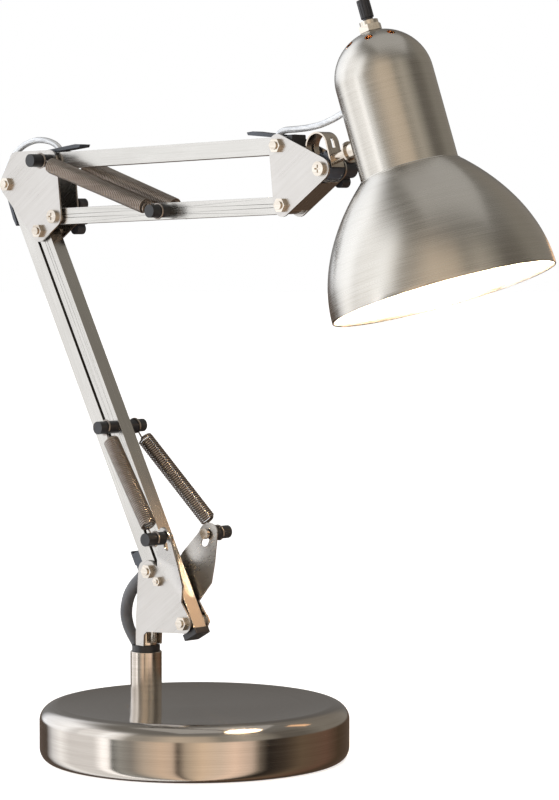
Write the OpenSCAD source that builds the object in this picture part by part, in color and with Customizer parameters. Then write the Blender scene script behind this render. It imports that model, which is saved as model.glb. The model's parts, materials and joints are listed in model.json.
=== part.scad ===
// Swing arm desk lamp: round weighted base, post, two parallel-bar arms balanced
// by springs, and a brushed bell shade. Millimetres, +Z up, the desk at Z = 0 and
// the base centre at the origin. The arms lie in the XZ plane, the head towards +X.

/* [Base] */
// Diameter of the base where its side bulges most
base_d = 195; // [150:1:240]
// Height of the base at the lip of its dished top
base_h = 35; // [25:0.5:50]
// Thickness of the pressed base shell
base_wall = 1.2; // [0.8:0.1:2]
// Depth of the dish below its lip
dish_depth = 2.2; // [0.5:0.1:4]
// Height of the iron weight inside
weight_h = 12; // [6:1:18]
// Distance of the post behind the base centre
post_back = 44; // [0:1:60]

/* [Post] */
// Outside diameter of the post tube
post_d = 20; // [16:0.5:25]
// Height of the top of the post tube
post_top = 63.5; // [50:0.5:120]
// Outside diameter of the plastic bush on top of the post
bush_d = 17.8; // [14:0.1:20]
// Diameter of the turning stem in the bush
stem_d = 9; // [7:0.5:11]

/* [Arms] */
// Pivot to pivot length of the lower arm
lower_len = 279; // [200:1:360]
// Backward lean of the lower arm from vertical, degrees
lower_lean = 28.5; // [15:0.5:35]
// Pivot to pivot length of the upper arm
upper_len = 205; // [150:1:300]
// Rise of the upper arm from level, degrees
upper_rise = 2; // [-10:0.5:20]
// Outside width of the square bar tubes
bar_w = 10.5; // [8:0.5:14]
// Wall of the square bar tubes
bar_wall = 1; // [0.6:0.1:2]
// Clear width between the side plates
plate_gap = 14; // [12:0.5:20]
// Thickness of the side plates
plate_t = 1.2; // [0.8:0.1:2]

/* [Fasteners] */
// Diameter of the pivot bolts
bolt_d = 5; // [4:0.5:6]
// Width across flats of the nuts
nut_af = 8; // [7:0.5:10]
// Height of the nuts
nut_h = 2.7; // [2:0.1:4]
// Radial clearance where a part turns on a pin
run_gap = 0.05; // [0.01:0.01:0.1]
// Diameter of the studs that carry the springs
stud_d = 4; // [3:0.5:5]
// Outside diameter of the plastic sleeves on those studs
sleeve_d = 8.2; // [6.5:0.1:10]

/* [Springs] */
// Outside diameter of the spring coils
spring_d = 10.4; // [8:0.1:13]
// Diameter of the spring wire
wire_d = 1.2; // [0.8:0.1:1.8]
// Length from a spring's anchor to its first coil
hook_len = 10; // [8:0.5:14]
// Distance of the lower spring anchor along the inner bar
lower_anchor = 137; // [100:1:180]
// Distance of the upper spring anchor along the bottom bar
upper_anchor = 101.6; // [70:0.2:140]

/* [Shade] */
// Diameter of the shade's mouth
mouth_d = 135.2; // [110:0.2:160]
// Diameter of the shade's neck
neck_d = 58.8; // [50:0.2:64]
// Thickness of the spun shade
shade_wall = 1; // [0.6:0.1:1.5]
// Depth from the swivel pin down to the mouth
mouth_drop = 100; // [80:1:130]
// Depth from the swivel pin down to the seam between neck and bell
seam_drop = 25; // [15:1:35]
// Height from the swivel pin up to the start of the dome
dome_rise = 32; // [20:1:45]
// Tilt of the shade about the head screw, degrees
head_tilt = 17; // [0:1:30]
// Turn of the shade about its swivel pin, degrees
shade_roll = 4.2; // [-10:0.1:10]

/* [Cord] */
// Diameter of the clear flex along the arms
flex_d = 4; // [3:0.5:6]
// Diameter of the grey sleeve at the post
cover_d = 6.4; // [5:0.2:6.6]
// Diameter of the mains lead
lead_d = 5; // [4:0.5:7]

/* [Hidden] */
$fn = 48;

steel = [0.80, 0.77, 0.73];
satin = [0.88, 0.87, 0.85];
black = [0.07, 0.07, 0.09];
dark = [0.35, 0.33, 0.31];
clear = [0.86, 0.88, 0.90];
grey = [0.33, 0.33, 0.35];

// pivots as [x, z] in the plane of the arms
post_x = -post_back;
low_out = [post_x + 11, 116];
low_in = [post_x + 42, 85.5];
lower_dir = [-sin(lower_lean), cos(lower_lean)];
upper_dir = [cos(upper_rise), sin(upper_rise)];
elbow_out = low_out + lower_len * lower_dir;
elbow_in = low_in + lower_len * lower_dir;
up_low = elbow_out + [45, -21];
up_top = up_low + [-4, 36];
elbow_corner = elbow_out + [9, 14.3];
head_low = up_low + upper_len * upper_dir;
head_top = up_top + upper_len * upper_dir;
tilt_pt = head_top + [35.5, -14.3];
ear_pt = low_in + [-4.8, 54.4];

half = bar_w / 2;
plate_in = plate_gap / 2;
plate_out = plate_in + plate_t;
washer_in = half + 0.3;
bolt_r = bolt_d / 2;
stud_r = stud_d / 2;
sleeve_r = sleeve_d / 2;

// ---- shapes that repeat ----
module rod_y(p, r, y0, y1) translate([p[0], y1, p[1]]) rotate([90, 0, 0]) cylinder(r = r, h = y1 - y0);

module slab_y(pts, y0, y1) translate([0, y1, 0]) rotate([90, 0, 0]) linear_extrude(y1 - y0) polygon(pts);

function edge_out(a, b, r) = let (d = (b - a) / norm(b - a)) r * [d[1], -d[0]];
function lobes(v, r) = [for (i = [0:len(v) - 1]) let (a = v[i], b = v[(i + 1) % len(v)], o = edge_out(a, b, r))
    each [a + o, b + o]];

// plate with a round corner at each point, the points anticlockwise
module lobed_plate(v, r, y0, y1) {
    slab_y(lobes(v, r), y0, y1);
    for (p = v) rod_y(p, r, y0, y1);
}

// a pair of equal side plates, both faces drilled where told
module plate_pair(v, r, holes, hole_r) difference() {
    for (y = [-plate_out, plate_in]) lobed_plate(v, r, y, y + plate_t);
    for (p = holes) rod_y(p, hole_r, -30, 30);
}

module hex_y(p, af, y0, y1) translate([p[0], y1, p[1]]) rotate([90, 0, 0]) cylinder(d = af / cos(30), h = y1 - y0, $fn = 6);

// nut of height h, its middle at y
module nut_y(p, af, r, y, h) difference() {
    hex_y(p, af, y - h / 2, y + h / 2);
    rod_y(p, r, y - h, y + h);
}

module bolt_and_nut(p) {
    rod_y(p, bolt_r, -plate_out - nut_h - 1, plate_out + 1);
    hex_y(p, nut_af, plate_out + 0.02, plate_out + 3.2);
    nut_y(p, nut_af, bolt_r + 0.02, -plate_out - nut_h / 2 - 0.02, nut_h);
}

module pivot_washers(p) for (s = [-1, 1]) difference() {
    rod_y(p, bolt_r + 2.3, min(s * washer_in, s * (plate_in - 0.02)), max(s * washer_in, s * (plate_in - 0.02)));
    rod_y(p, bolt_r + run_gap, -plate_gap, plate_gap);
}

// frame of a bar: X runs from its first pivot, Z is its back or upper face
module bar_frame(p, d) translate([p[0], 0, p[1]]) rotate([0, -atan2(d[1], d[0]), 0]) children();

// square tube with round ends, or left open and square e past a pivot
module bar_tube(length, e0, e1, bores, stud_at) difference() {
    union() {
        translate([-e0, -half, -half]) cube([length + e0 + e1, bar_w, bar_w]);
        if (e0 == 0) rod_y([0, 0], half, -half, half);
        if (e1 == 0) rod_y([length, 0], half, -half, half);
    }
    translate([e0 == 0 ? 0 : -e0 - 1, -half + bar_wall, -half + bar_wall])
        cube([length + (e0 == 0 ? 0 : e0 + 1) + (e1 == 0 ? 0 : e1 + 1), bar_w - 2 * bar_wall, bar_w - 2 * bar_wall]);
    for (x = bores) rod_y([x, 0], bolt_r + run_gap, -bar_w, bar_w);
    for (x = stud_at) rod_y([x, 0], stud_r + 0.02, -bar_w, bar_w);
}

// stud across a bar or a plate pair, with a blind sleeve on each end
module cross_stud(p, reach) rod_y(p, stud_r, -reach + 1.5, reach - 1.5);

module sleeve(p, side, y_in, reach) mirror([0, side < 0 ? 1 : 0, 0]) difference() {
    rod_y(p, sleeve_r, y_in, reach);
    rod_y(p, stud_r + 0.02, y_in - 1, reach - 1.45);
}

module point_at(a, b) {
    d = b - a;
    translate(a) rotate([0, acos(d[2] / norm(d)), atan2(d[1], d[0])]) children();
}

// closed-coil pull spring between two anchors, an eye round each of them
module pull_spring(a, b) {
    eye_r = sleeve_r + 0.3 + wire_d / 2;
    span = norm(b - a);
    for (p = [a, b]) translate(p) rotate([90, 0, 0]) rotate_extrude() translate([eye_r, 0]) circle(d = wire_d, $fn = 12);
    point_at(a, b) {
        translate([0, 0, hook_len]) difference() {
            cylinder(d = spring_d, h = span - 2 * hook_len);
            translate([0, 0, wire_d]) cylinder(d = spring_d - 2 * wire_d, h = span - 2 * hook_len - 2 * wire_d);
        }
        for (z = [eye_r, span - hook_len - 0.2]) translate([0, 0, z]) cylinder(d = wire_d, h = hook_len - eye_r + 0.2, $fn = 12);
    }
}

// tube swept along chosen points
function unit(v) = v / norm(v);
function sweep_dir(p, i) = unit(p[min(i + 1, len(p) - 1)] - p[max(i - 1, 0)]);
// from its point i0 to i1, so that the parts of one route meet face to face
module tube_along(p, d, i0 = 0, i1 = -1, side = [0, 1, 0], n = 8) {
    last = (i1 < 0 ? len(p) - 1 : i1) - i0;
    rings = [for (i = [i0:i0 + last]) let (t = sweep_dir(p, i), u = unit(cross(t, side)), w = cross(u, t))
        each [for (k = [0:n - 1]) p[i] + d / 2 * (cos(360 * k / n) * u + sin(360 * k / n) * w)]];
    polyhedron(points = rings, faces = concat([[for (k = [n - 1:-1:0]) k]],
        [for (i = [0:last - 1], k = [0:n - 1]) let (m = (k + 1) % n) [i * n + k, i * n + m, (i + 1) * n + m, (i + 1) * n + k]],
        [[for (k = [0:n - 1]) last * n + k]]));
}

// ---- base ----
side_bottom = base_d / 2 - 6;
lip_r = base_d / 2 - 11;
shoulder = 10;
// small curve at the desk, steep side, wide shoulder up to the lip
function side_outline(i) = concat([for (a = [0:15:90]) [base_d / 2 - i - 6 * (1 - sin(a)), 1 + i + 7 * (1 - cos(a))]],
    [for (a = [0:10:90]) [base_d / 2 - i - 11 * (1 - cos(a)), base_h - shoulder + (shoulder - i) * sin(a)]]);
function dish_z(r) = base_h - dish_depth * (1 - pow(r / lip_r, 4));
dish_outline = [for (k = [9:-1:0]) let (r = (lip_r - 2) * sqrt(k / 9)) [r, dish_z(r)]];

module base_shell() color(steel) difference() {
    rotate_extrude($fn = 96) polygon(concat([[0, 1]], side_outline(0), dish_outline));
    rotate_extrude($fn = 96) polygon(concat([[0, 0]], [[side_bottom - base_wall, 0]], side_outline(base_wall),
        [for (q = dish_outline) q - [q[0] > lip_r - 4 ? base_wall : 0, base_wall]]));
    translate([post_x, 0, base_h / 2]) cylinder(d = post_d + 0.1, h = base_h);
    rotate([0, 0, lead_turn]) translate([base_d / 2 - 14, 0, lead_z]) rotate([0, 90, 0]) cylinder(r = gland_r + 0.05, h = 30);
}

module base_weight() color(dark) translate([0, 0, 1.8]) cylinder(r = side_bottom - 6, h = weight_h, $fn = 96);

module base_pad() color(black) cylinder(r = side_bottom - 2, h = 1.7, $fn = 96);

// ---- post ----
post_foot = base_h - 13;
dish_at_post = dish_z(post_back);
module post_tube() color(steel) translate([post_x, 0, post_foot]) difference() {
    cylinder(d = post_d, h = post_top - post_foot);
    translate([0, 0, -1]) cylinder(d = post_d - 2.4, h = post_top);
}

module post_nut() color(dark) translate([post_x, 0, post_foot + 2]) difference() {
    cylinder(d = post_d + 12, h = dish_at_post - base_wall - 1 - post_foot - 2, $fn = 6);
    translate([0, 0, -1]) cylinder(d = post_d + 0.04, h = 20);
}

bush_top = post_top + 4;
module post_bush() color(black) translate([post_x, 0, 0]) difference() {
    union() {
        translate([0, 0, post_top + 0.02]) cylinder(d = bush_d, h = bush_top - post_top - 0.02);
        translate([0, 0, post_top - 18]) cylinder(d = post_d - 2.44, h = 19);
    }
    translate([0, 0, post_top - 20]) cylinder(d = stem_d + 2 * run_gap, h = 40);
    translate([-8.3, 0, bush_top - 2]) cylinder(r = cover_d / 2 + 0.3, h = 5);
}

// ---- mains lead, behind the base ----
lead_turn = 134;
lead_z = 9;
gland_r = 5;
coil_far = 165;
coil_side = 32;
coil_r = 28.5;
module lead_frame() rotate([0, 0, lead_turn]) children();

module cord_gland() color(black) lead_frame() translate([base_d / 2 - 6, 0, lead_z]) rotate([0, 90, 0]) difference() {
    union() {
        cylinder(r = gland_r, h = 8);
        translate([0, 0, 6.5]) cylinder(r = gland_r + 1.6, h = 2.5);
        translate([0, 0, 9]) cylinder(r1 = gland_r, r2 = lead_d / 2 + 0.9, h = 22);
    }
    translate([0, 0, -1]) cylinder(d = lead_d + 0.2, h = 60);
}

lead_path = [[92, 0, 9], [106, 0, 9], [122, 0, 9], [126, 0, 8.8], [131, -0.5, 7.8], [136, -1.2, 6.1], [140, -1.9, 4.7]];
tail_path = [[160, 73.5, 9.4], [153, 73.5, 6.8], [146, 73.5, 5.6], [140, 73.5, 6.4], [134, 73.5, 8], [129, 73.5, 8.6], [124, 73.5, 8.6]];
module mains_lead() color(clear) lead_frame() {
    tube_along(lead_path, lead_d);
    tube_along(tail_path, lead_d);
}

module mains_coil() color(clear) lead_frame() translate([coil_far, coil_side, 0.05]) rotate_extrude()
    translate([coil_r - 2 * lead_d, 0]) square([4 * lead_d, 3 * lead_d]);

module coil_tie() color(black) lead_frame() translate([coil_far + coil_r, coil_side, 0]) difference() {
    translate([-2 * lead_d - 1.4, -3, 0]) cube([4 * lead_d + 2.8, 6, 3 * lead_d + 1.6]);
    translate([-2 * lead_d - 0.3, -4, -1]) cube([4 * lead_d + 0.6, 8, 3 * lead_d + 1.3]);
}

plug_at = [132, 73.5, 8.6];
module plug_body() color(black) lead_frame() translate(plug_at) difference() {
    union() {
        translate([-34, -9, -7.5]) cube([24, 18, 15]);
        translate([0, 0, 0]) rotate([0, -90, 0]) cylinder(r1 = lead_d / 2 + 1, r2 = 6, h = 12);
    }
    translate([5, 0, 0]) rotate([0, -90, 0]) cylinder(d = lead_d + 0.2, h = 14);
    for (s = [-1, 1]) translate([-36, s * 6.35 - 0.8, -3.25]) cube([12, 1.6, 6.5]);
}
module plug_blades() color(steel) lead_frame() translate(plug_at)
    for (s = [-1, 1]) translate([-50, s * 6.35 - 0.75, -3.15]) cube([25, 1.5, 6.3]);

// ---- bracket on the post ----
fold_from = low_out + [8, 3];
fold_to = low_in + [-1.5, 12.8];
fold_dir = (fold_to - fold_from) / norm(fold_to - fold_from);
flare = 22;
plate_floor = bush_top + 0.35;
// outline of the flat part, with the neck on the post's side
bracket_flat = [[post_x - 0.8, plate_floor], [post_x + 6, plate_floor], [post_x + 6.4, 75], [post_x + 9, 77.2],
    low_in + [-2, -6.5], low_in + [6.5, 0], low_in + [5.4, 4], fold_to, fold_from, low_out + [2, 6.5],
    low_out + [-3, 6.5], low_out + [-9.5, 0], [post_x - 0.8, 86]];
function ear_uv(p) = let (q = p - fold_from) [q * fold_dir, (q[1] * fold_dir[0] - q[0] * fold_dir[1]) / cos(flare)];
ear_tip = ear_pt + [0.3, 0.6];
ear_outline = [fold_from, fold_to, ear_pt + [9.5, -30], ear_pt + [9, -18], ear_tip + [6.5, 0], ear_tip + [-6.5, 0],
    ear_pt + [-14.5, -12]];

module ear() translate([fold_from[0], plate_in, fold_from[1]]) rotate([0, -atan2(fold_dir[1], fold_dir[0]), 0])
    rotate([-flare, 0, 0]) difference() {
        union() {
            slab_y([for (p = ear_outline) ear_uv(p)], 0, plate_t);
            rod_y(ear_uv(ear_tip), 6.5, 0, plate_t);
        }
        for (d = [[0.2, 0.4], [-0.6, -5.6]]) rod_y(ear_uv(ear_pt + d), stud_r + 0.6, -3, 4);
        slab_y([for (d = [[-2.3, 0.6], [-3.1, -5.4], [1.9, -5.8], [2.7, 0.2]]) ear_uv(ear_pt + d)], -3, 4);
    }

module bracket_plates() color(satin) difference() {
    for (m = [0, 1]) mirror([0, m, 0]) {
        slab_y(bracket_flat, plate_in, plate_out);
        rod_y(low_out + [-3, 0], 6.5, plate_in, plate_out);
        rod_y(low_in, 6.5, plate_in, plate_out);
        ear();
    }
    for (p = [low_out, low_in]) rod_y(p, bolt_r + run_gap, -30, 30);
    rod_y(stop_pt, 1.52, -30, 30);
}

// round stem that carries the plates, open to the front and at the cord
module bracket_stem() color(steel) translate([post_x, 0, 0]) {
    difference() {
        translate([0, 0, plate_floor]) cylinder(r = plate_in - 0.02, h = 8);
        translate([0, 0, plate_floor + 1.5]) cylinder(r = plate_in - 1.4, h = 9);
        translate([0, -4.5, plate_floor + 1.5]) cube([20, 9, 20]);
        translate([-20, -cover_d / 2 - 0.4, plate_floor - 1]) cube([20 - stem_d / 2 - 0.4, cover_d + 0.8, 20]);
    }
    translate([0, 0, post_top - 16]) cylinder(d = stem_d, h = plate_floor + 2 - post_top + 16);
}

module bracket_bolts() color(steel) {
    for (p = [low_out, low_in]) bolt_and_nut(p);
    rod_y(stop_pt, 1.5, -plate_out - 3, plate_out + 3);
    for (s = [-1, 1]) nut_y(stop_pt, 5.5, 1.52, s * (plate_out + 1.2), 2.2);
}
module bracket_washers() color(satin) for (p = [low_out, low_in]) pivot_washers(p);

stop_pt = low_out + [8.8, -5.7];

ear_y = plate_in + ear_uv(ear_pt)[1] * sin(flare);
ear_reach = 36.5;
module ear_studs() color(steel) for (m = [0, 1]) mirror([0, m, 0]) {
    rod_y(ear_pt, stud_r, ear_y - 3, ear_reach - 1.5);
    rod_y(ear_pt, stud_r + 1.4, ear_y - 3.2, ear_y - 1.5);
}
module ear_sleeves() color(black) for (s = [-1, 1]) sleeve(ear_pt, s, ear_y + 3, ear_reach);

// ---- grey sleeve from the post to the outer bar ----
cover_path = [[-52.4, 0, 66.3], [-54, 0, 69.2], [-57.2, 0, 73.4], [-60.4, 0, 78.5], [-62.2, 0, 84.5], [-61.8, 0, 91],
    [-59.4, 0, 98], [-55, 0, 104], [-49.8, 0, 108.8], [-45.9, 0, 112.6], [-44.5, 0, 116.2], [-44.9, 0, 119.8], [-47.2, 0, 124.2]];
module cord_cover_low() color(grey) tube_along(cover_path, cover_d, 0, 5);
module cord_cover_up() color(grey) tube_along(cover_path, cover_d, 5, 12);

// ---- springs ----
lower_stud_pt = low_in + lower_anchor * lower_dir;
upper_stud_pt = up_low + upper_anchor * upper_dir;
function at_y(p, y) = [p[0], y, p[1]];
module lower_springs() color(dark) for (s = [-1, 1]) pull_spring(at_y(ear_pt, 28 * s), at_y(lower_stud_pt, 13 * s));
module upper_springs() color(dark) for (s = [-1, 1]) pull_spring(at_y(up_top, 16 * s), at_y(upper_stud_pt, 12.5 * s));

// ---- lower arm ----
module lower_outer_bar() color(satin) bar_frame(low_out, lower_dir) difference() {
    bar_tube(lower_len, 0, 0, [0, lower_len], []);
    for (x = [16.5, lower_len - 7]) translate([x, 0, 0]) cylinder(r = flex_d / 2 + 0.4, h = half + 1);
}

// thin tongue that covers the cord hole, lifted at its free end
module cord_tongue(x0, x1, hole) difference() {
    slab_y([[x0, half + 0.02], [x0 + 4, half + 0.02], [x1, half + 2.4], [x1 + 1, half + 4.2], [x1 - 4, half + 4.6], [x0, half + 1.6]],
        -4.5, 4.5);
    translate([hole - 0.8, 0, 0]) cylinder(r = flex_d / 2 + 1.7, h = bar_w);
}
module lower_cord_clips() color(black) bar_frame(low_out, lower_dir) {
    for (y = [-4.5, 3.4]) translate([2, y, half + 0.02]) cube([15, 1.1, 7]);
    translate([9.5, -4.5, half + 6.6]) cube([9.5, 9, 1.3]);
    translate([lower_len, 0, 0]) mirror([1, 0, 0]) cord_tongue(-6, 25, 7);
}

module lower_inner_bar() color(satin) bar_frame(low_in, lower_dir)
    bar_tube(lower_len, 8, 0, [0, lower_len], [lower_anchor]);

// push-on cap over a square bar end
module end_cap(bar_end) difference() {
    translate([bar_end - 2.4, -half - 0.95, -half - 0.95]) cube([4.2, bar_w + 1.9, bar_w + 1.9]);
    translate([bar_end - 4, -half - 0.02, -half - 0.02]) cube([4.3, bar_w + 0.04, bar_w + 0.04]);
}
module lower_bar_cap() color(black) bar_frame(low_in, lower_dir) mirror([1, 0, 0]) end_cap(8);

lower_reach = 20;
module lower_post() color(steel) cross_stud(lower_stud_pt, lower_reach);
module lower_post_sleeves() color(black) for (s = [-1, 1]) sleeve(lower_stud_pt, s, half + 0.05, lower_reach);

// ---- elbow ----
elbow_outline = [elbow_in, up_low, up_top, elbow_corner, elbow_out];
module elbow_plates() color(satin) plate_pair(elbow_outline, 7, [elbow_in, elbow_out, up_low, up_top], bolt_r + run_gap);
module elbow_bolts() color(steel) for (p = [elbow_in, elbow_out]) bolt_and_nut(p);
module elbow_washers() color(satin) for (p = [elbow_in, elbow_out, up_low, up_top]) pivot_washers(p);

// cross-head clamp screw, its knob on the far side
module clamp_screw(p, r) difference() {
    union() {
        rod_y(p, r, -plate_out - 1, plate_out + 9);
        rod_y(p, 4.4, -plate_out - 2.3, -plate_out - 0.02);
    }
    for (w = [[4.8, 1], [1, 4.8]]) translate([p[0] - w[0] / 2, -plate_out - 3, p[1] - w[1] / 2]) cube([w[0], 1.7, w[1]]);
}
module wing_knob(p, r, angle) difference() {
    union() {
        rod_y(p, 5.4, plate_out + 0.4, plate_out + 11.5);
        for (s = [-1, 1]) let (q = p + s * 8.2 * [cos(angle), sin(angle)], w = 2.2 * [-sin(angle), cos(angle)]) {
            slab_y([p - w, q - w, q + w, p + w], plate_out + 3, plate_out + 10);
            rod_y(q, 3.6, plate_out + 3, plate_out + 10);
        }
    }
    rod_y(p, r + run_gap, 0, plate_out + 9.4);
}
module elbow_screw() color(steel) clamp_screw(up_low, bolt_r);
module elbow_knob() color(black) wing_knob(up_low, bolt_r, 82);

elbow_reach = 25;
module elbow_post() color(steel) rod_y(up_top, bolt_r, -elbow_reach + 1.5, elbow_reach - 1.5);
module elbow_post_sleeves() color(black) for (s = [-1, 1]) mirror([0, s < 0 ? 1 : 0, 0]) difference() {
    rod_y(up_top, sleeve_r + 0.1, plate_out + 0.05, elbow_reach);
    rod_y(up_top, bolt_r + 0.02, plate_out - 1, elbow_reach - 1.45);
}

// ---- flex round the elbow ----
elbow_path = [[-168.2, 0, 352.8], [-171.4, 0, 352.2], [-174.8, 0, 354.4], [-177.2, 0, 359.2], [-177.4, 0, 365], [-174.5, 0, 372.5],
    [-168.5, 0, 380.2], [-159, 0, 386.4], [-148, 0, 389.6], [-138.5, 0, 389.7], [-130.8, 0, 388.1], [-125.4, 0, 385.4], [-122.8, 0, 382.4]];
module cord_elbow_low() color(clear) tube_along(elbow_path, flex_d, 0, 6);
module cord_elbow_top() color(clear) tube_along(elbow_path, flex_d, 6, 12);

// ---- upper arm ----
module upper_top_bar() color(satin) bar_frame(up_top, upper_dir) difference() {
    bar_tube(upper_len, 0, 9, [0, upper_len], []);
    for (x = [2.5, upper_len - 7]) translate([x, 0, 0]) cylinder(r = flex_d / 2 + 0.4, h = half + 1);
}
module upper_top_cap() color(black) bar_frame(up_top, upper_dir) end_cap(upper_len + 9);
module upper_cord_clip() color(black) bar_frame(up_top, upper_dir) {
    cord_tongue(-10, 25, 2.5);
    translate([upper_len, 0, 0]) mirror([1, 0, 0]) cord_tongue(2.6, 28, 7);
}
module upper_bottom_bar() color(satin) bar_frame(up_low, upper_dir)
    bar_tube(upper_len, 0, 0, [0, upper_len], [upper_anchor]);
module upper_post() color(steel) cross_stud(upper_stud_pt, lower_reach);
module upper_post_sleeves() color(black) for (s = [-1, 1]) sleeve(upper_stud_pt, s, half + 0.05, lower_reach);

// ---- head bracket: two plates and the web along their lower edge ----
head_r = 7;
web_dir = (tilt_pt - head_low) / norm(tilt_pt - head_low);
web_off = [web_dir[1], -web_dir[0]];
module head_plates() color(satin) {
    plate_pair([head_low, tilt_pt, head_top], head_r, [head_low, tilt_pt, head_top], bolt_r + run_gap);
    slab_y([for (q = [[5, head_r - plate_t], [5, head_r], [norm(tilt_pt - head_low) - 5, head_r],
        [norm(tilt_pt - head_low) - 5, head_r - plate_t]]) head_low + q[0] * web_dir + q[1] * web_off], -plate_in - 0.1, plate_in + 0.1);
}
module head_bolts() color(steel) for (p = [head_low, head_top]) bolt_and_nut(p);
module head_washers() color(satin) for (p = [head_low, head_top]) pivot_washers(p);
module head_screw() color(steel) clamp_screw(tilt_pt, bolt_r);
module head_knob() color(black) wing_knob(tilt_pt, bolt_r, 70);

head_path = [[72.9, 0, 388.5], [73.8, 0, 390.3], [76.2, 0, 391.9], [80, 0, 392.8], [89, 0, 393.2], [98, 0, 393.9],
    [107, 0, 395.3], [114, -0.2, 397.1], [121, -0.7, 399.4], [128, -1.3, 402.2], [133.4, -1.7, 404.3]];
module cord_head_start() color(clear) tube_along(head_path, flex_d, 0, 4);
module cord_head_mid() color(clear) tube_along(head_path, flex_d, 4, 7);
module cord_head_end() color(clear) tube_along(head_path, flex_d, 7, 10);

// ---- tilting knuckle, strap and pin; X runs along the pin ----
pin_rise = 4.5;
pin_reach = 59.6;
strap_t = 1.2;
module tilt_frame() translate([tilt_pt[0], 0, tilt_pt[1]]) rotate([0, -head_tilt, 0]) children();

module knuckle() color(black) tilt_frame() difference() {
    union() {
        rod_y([0, 0], 6.5, -plate_in + 0.35, plate_in - 0.35);
        translate([-9.1, -5, 0]) cube([15.2, 10, 8.6]);
        for (i = [0:3]) translate([-8 + 3.6 * i, -5, 8.5]) cube([1.8, 10, 1.3]);
    }
    rod_y([0, 0], bolt_r + run_gap, -10, 10);
    translate([6.15, -6, -1.6]) cube([3, 12, 12]);
}

arch_c = [-1.5, 14.3];
arch_r = 9;
module head_strap() color(steel) tilt_frame() difference() {
    union() {
        intersection() {
            rod_y(arch_c, arch_r, -5.5, 5.5);
            translate([-20, -10, arch_c[1]]) cube([40, 20, 20]);
        }
        translate([arch_c[0] + arch_r - strap_t, -5.5, -1.2]) cube([strap_t, 11, arch_c[1] + 1.3]);
        translate([arch_c[0] - arch_r, -5.5, 4]) cube([strap_t, 11, arch_c[1] - 3.9]);
    }
    rod_y(arch_c, arch_r - strap_t, -7, 7);
    translate([-12, -1.2, 9]) cube([4, 2.4, 9]);
    translate([4, -1.2, 11]) cube([5, 2.4, 6]);
    translate([4, 0, pin_rise]) rotate([0, 90, 0]) cylinder(r = 2.52, h = 6);
}

module swivel_pin() color(satin) tilt_frame() translate([0, 0, pin_rise]) rotate([0, 90, 0]) {
    translate([0, 0, 6.32]) cylinder(r = 2.5, h = 28.4);
    translate([0, 0, arch_c[0] + arch_r + 0.02]) cylinder(r = 3.3, h = 10);
    translate([0, 0, 32.1]) cylinder(d = nut_af / cos(30), h = 2.4, $fn = 6);
}

// ---- shade: Z up its axis from the pin, before it is turned ----
neck_r = neck_d / 2;
mouth_r = mouth_d / 2;
seam_r = neck_r + 1.1;
module shade_frame() tilt_frame() translate([pin_reach, 0, pin_rise]) rotate([shade_roll, 0, 0]) children();
function bez(a, b, c, d, t) = pow(1 - t, 3) * a + 3 * t * pow(1 - t, 2) * b + 3 * t * t * (1 - t) * c + t * t * t * d;
bell_h = mouth_drop - seam_drop;
bell_w = mouth_r - seam_r;
function bell(i) = [for (k = [0:12]) bez([mouth_r - i, -mouth_drop], [mouth_r - i, -mouth_drop + 0.45 * bell_h],
    [seam_r - i + 0.42 * bell_w, -seam_drop - 0.19 * bell_h], [seam_r - i, -seam_drop], k / 12)];
function dome(i, r_end) = [for (k = [0:8]) let (a = acos(r_end / (neck_r - i)) * k / 8)
    [(neck_r - i) * cos(a), dome_rise + (neck_r - i) * sin(a)]];
nipple_r = 5;

module shade_shell() color(steel) shade_frame() difference() {
    rotate_extrude($fn = 96) polygon(concat(bell(0), dome(0, nipple_r + 0.02),
        [for (k = [8:-1:0]) dome(shade_wall, nipple_r + 0.02)[k]], [for (k = [12:-1:0]) bell(shade_wall)[k]]));
    for (a = [32:45:347]) rotate([0, 0, a]) translate([0, 0, dome_rise]) rotate([0, 38, 0]) cylinder(r = 2.5, h = 50);
    rotate([-shade_roll, 0, 0]) translate([-pin_reach, 0, 0]) rotate([0, 90, 0]) cylinder(r = 2.5 + run_gap, h = pin_reach);
    translate([-neck_r, 0, 24]) rotate([0, 90, 0]) cylinder(r = flex_d / 2 + 0.4, h = 20, center = true);
}

// boss on the neck that turns on the pin
module shade_boss() color(satin) tilt_frame() difference() {
    union() {
        translate([18.2, 0, pin_rise]) rotate([0, 90, 0]) cylinder(r = 5, h = 14);
        translate([18.2, 0, pin_rise]) rotate([0, 90, 0]) cylinder(r = 6.6, h = 1.3);
    }
    translate([15, 0, pin_rise]) rotate([0, 90, 0]) cylinder(r = 2.5 + run_gap, h = 20);
    translate([pin_reach, 0, pin_rise]) rotate([shade_roll, 0, 0]) translate([0, 0, -seam_drop])
        cylinder(r1 = seam_r + 0.02, r2 = neck_r + 0.02, h = seam_drop + dome_rise);
}

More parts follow.
